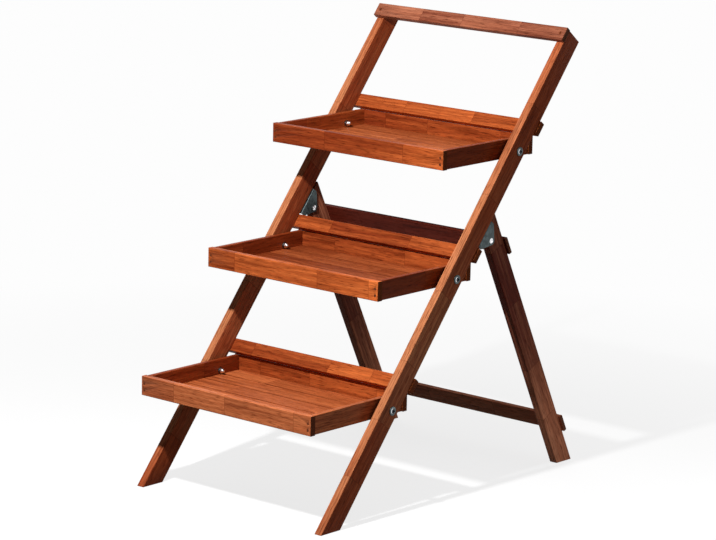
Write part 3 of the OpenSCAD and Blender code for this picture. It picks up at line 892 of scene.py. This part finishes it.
def seen_directly(tree):
    """1 for camera, glossy and transmission rays, which see the white background."""
    path = add(tree, "LightPath")
    seen = add(tree, "Math", {0: path.outputs["Is Camera Ray"], 1: path.outputs["Is Glossy Ray"]},
               operation="MAXIMUM")
    return add(tree, "Math", {0: seen.outputs[0], 1: path.outputs["Is Transmission Ray"]},
               operation="MAXIMUM").outputs[0]


class STAND_OT_stage(bpy.types.Operator):
    """Make the pale floor, the light and the camera"""

    bl_idname = "stand.stage"
    bl_label = "Stage"

    def execute(self, context):
        stage = context.scene.stand_stage
        self.make_floor(context, stage)
        self.make_light(context, stage)
        self.make_camera(context)
        context.scene.view_settings.view_transform = "Standard"
        return {"FINISHED"}

    def make_floor(self, context, stage):
        """A wide round floor of painted board, white to the eye but for the shadow."""
        bm = bmesh.new()
        bmesh.ops.create_circle(bm, cap_ends=True, segments=96, radius=FLOOR_RADIUS)
        mesh = bpy.data.meshes.new("floor")
        bm.to_mesh(mesh)
        bm.free()
        material, tree, shader = start_material("painted_floor")
        # The wood gets little light back from the floor
        shader.inputs["Base Color"].default_value = (0.06, 0.055, 0.05, 1)
        shader.inputs["Roughness"].default_value = 0.9
        shader.inputs["Specular IOR Level"].default_value = 0
        glow = add(tree, "Emission", {"Color": (*stage.floor, 1), "Strength": 1})
        paint = add(tree, "BsdfDiffuse", {"Color": (*stage.floor, 1)})
        place = add(tree, "NewGeometry")
        away = add(tree, "VectorMath", {0: place.outputs["Position"]}, operation="LENGTH")
        share = add(tree, "MapRange", {"Value": away.outputs["Value"], 1: SHADOW_NEAR,
                                       2: SHADOW_FAR, 3: SHADOW_SHARE, 4: 0})
        white = add(tree, "MixShader", {0: share.outputs[0], 1: glow.outputs[0],
                                        2: paint.outputs[0]})
        either = add(tree, "MixShader", {0: seen_directly(tree), 1: shader.outputs[0],
                                         2: white.outputs[0]})
        tree.links.new(either.outputs[0], tree.nodes["Material Output"].inputs["Surface"])
        mesh.materials.append(material)
        floor = bpy.data.objects.new("floor", mesh)
        context.scene.collection.objects.link(floor)

    def make_light(self, context, stage):
        """A small lamp before the stand, a low fill, and soft light from above and behind."""
        for name, place, power, size in (
                ("key_lamp", stage.lamp_place, stage.lamp_power, stage.lamp_size),
                ("fill_lamp", stage.fill_place, stage.fill_power, 3 * stage.lamp_size)):
            lamp = bpy.data.lights.new(name, "POINT")
            lamp.energy, lamp.shadow_soft_size = power, size / 2
            bulb = bpy.data.objects.new(name, lamp)
            bulb.location = place
            context.scene.collection.objects.link(bulb)
        world = bpy.data.worlds.new("studio")
        world.use_nodes = True
        tree = world.node_tree
        place = add(tree, "TexCoord")
        glows = []
        for way, peak in ((OVERHEAD_WAY, stage.overhead), (REAR_WAY, stage.rear)):
            towards = add(tree, "VectorMath", {0: place.outputs["Generated"], 1: way},
                          operation="DOT_PRODUCT")
            glows.append(add(tree, "MapRange", {"Value": towards.outputs["Value"], 1: 0.2, 2: 1,
                                                3: 0, 4: peak}).outputs[0])
        glow = add(tree, "Math", {0: glows[0], 1: glows[1]}, operation="ADD")
        strength = add(tree, "Mix", {0: seen_directly(tree), 2: glow.outputs[0], 3: 1})
        tree.links.new(strength.outputs[0], tree.nodes["Background"].inputs["Strength"])
        tree.nodes["Background"].inputs["Color"].default_value = (1, 1, 1, 1)
        context.scene.world = world

    def make_camera(self, context):
        """A camera that looks down on the stand from the right, with a long lens."""
        lens = bpy.data.cameras.new("camera")
        lens.lens, lens.sensor_width = CAMERA_LENS, 36
        lens.clip_end = 100
        camera = bpy.data.objects.new("camera", lens)
        yaw, pitch, roll = (math.radians(a) for a in CAMERA_ANGLES)
        ahead = Vector((-math.sin(yaw) * math.cos(pitch), math.cos(yaw) * math.cos(pitch),
                        math.sin(pitch)))
        level = ahead.cross(UP).normalized()
        above = level.cross(ahead)
        right = math.cos(roll) * level + math.sin(roll) * above
        top = math.cos(roll) * above - math.sin(roll) * level
        turn = Matrix((right, top, -ahead)).transposed().to_4x4()
        camera.matrix_world = Matrix.Translation(CAMERA_PLACE) @ turn
        context.scene.collection.objects.link(camera)
        context.scene.camera = camera


# ---- Panel and registration ----

OPERATORS = (STAND_OT_rails, STAND_OT_handle_bar, STAND_OT_battens, STAND_OT_rear_legs,
             STAND_OT_crosspieces, STAND_OT_tray_boards, STAND_OT_tray_slats,
             STAND_OT_pivot_bolts, STAND_OT_pivot_rings, STAND_OT_cap_nuts, STAND_OT_hinges,
             STAND_OT_screws, STAND_OT_stage)


class STAND_PT_panel(bpy.types.Panel):
    """Lists the stand's sizes, colours and operators"""

    bl_idname = "STAND_PT_panel"
    bl_label = "Plant ladder stand"
    bl_space_type = "VIEW_3D"
    bl_region_type = "UI"
    bl_category = "Stand"

    def draw(self, context):
        for settings in (context.scene.stand_timber, context.scene.stand_hardware,
                         context.scene.stand_stage):
            box = self.layout.box()
            for name in settings.bl_rna.properties.keys():
                if name not in ("rna_type", "name"):
                    box.prop(settings, name)
        for operator in OPERATORS:
            self.layout.operator(operator.bl_idname)


CLASSES = (StandTimber, StandHardware, StandStage, *OPERATORS, STAND_PT_panel)


def register():
    for cls in CLASSES:
        bpy.utils.register_class(cls)
    bpy.types.Scene.stand_timber = PointerProperty(type=StandTimber)
    bpy.types.Scene.stand_hardware = PointerProperty(type=StandHardware)
    bpy.types.Scene.stand_stage = PointerProperty(type=StandStage)


def unregister():
    del bpy.types.Scene.stand_stage
    del bpy.types.Scene.stand_hardware
    del bpy.types.Scene.stand_timber
    for cls in reversed(CLASSES):
        bpy.utils.unregister_class(cls)


def main():
    register()
    for operator in OPERATORS:
        group, name = operator.bl_idname.split(".")
        getattr(getattr(bpy.ops, group), name)()


if __name__ == "__main__":
    main()
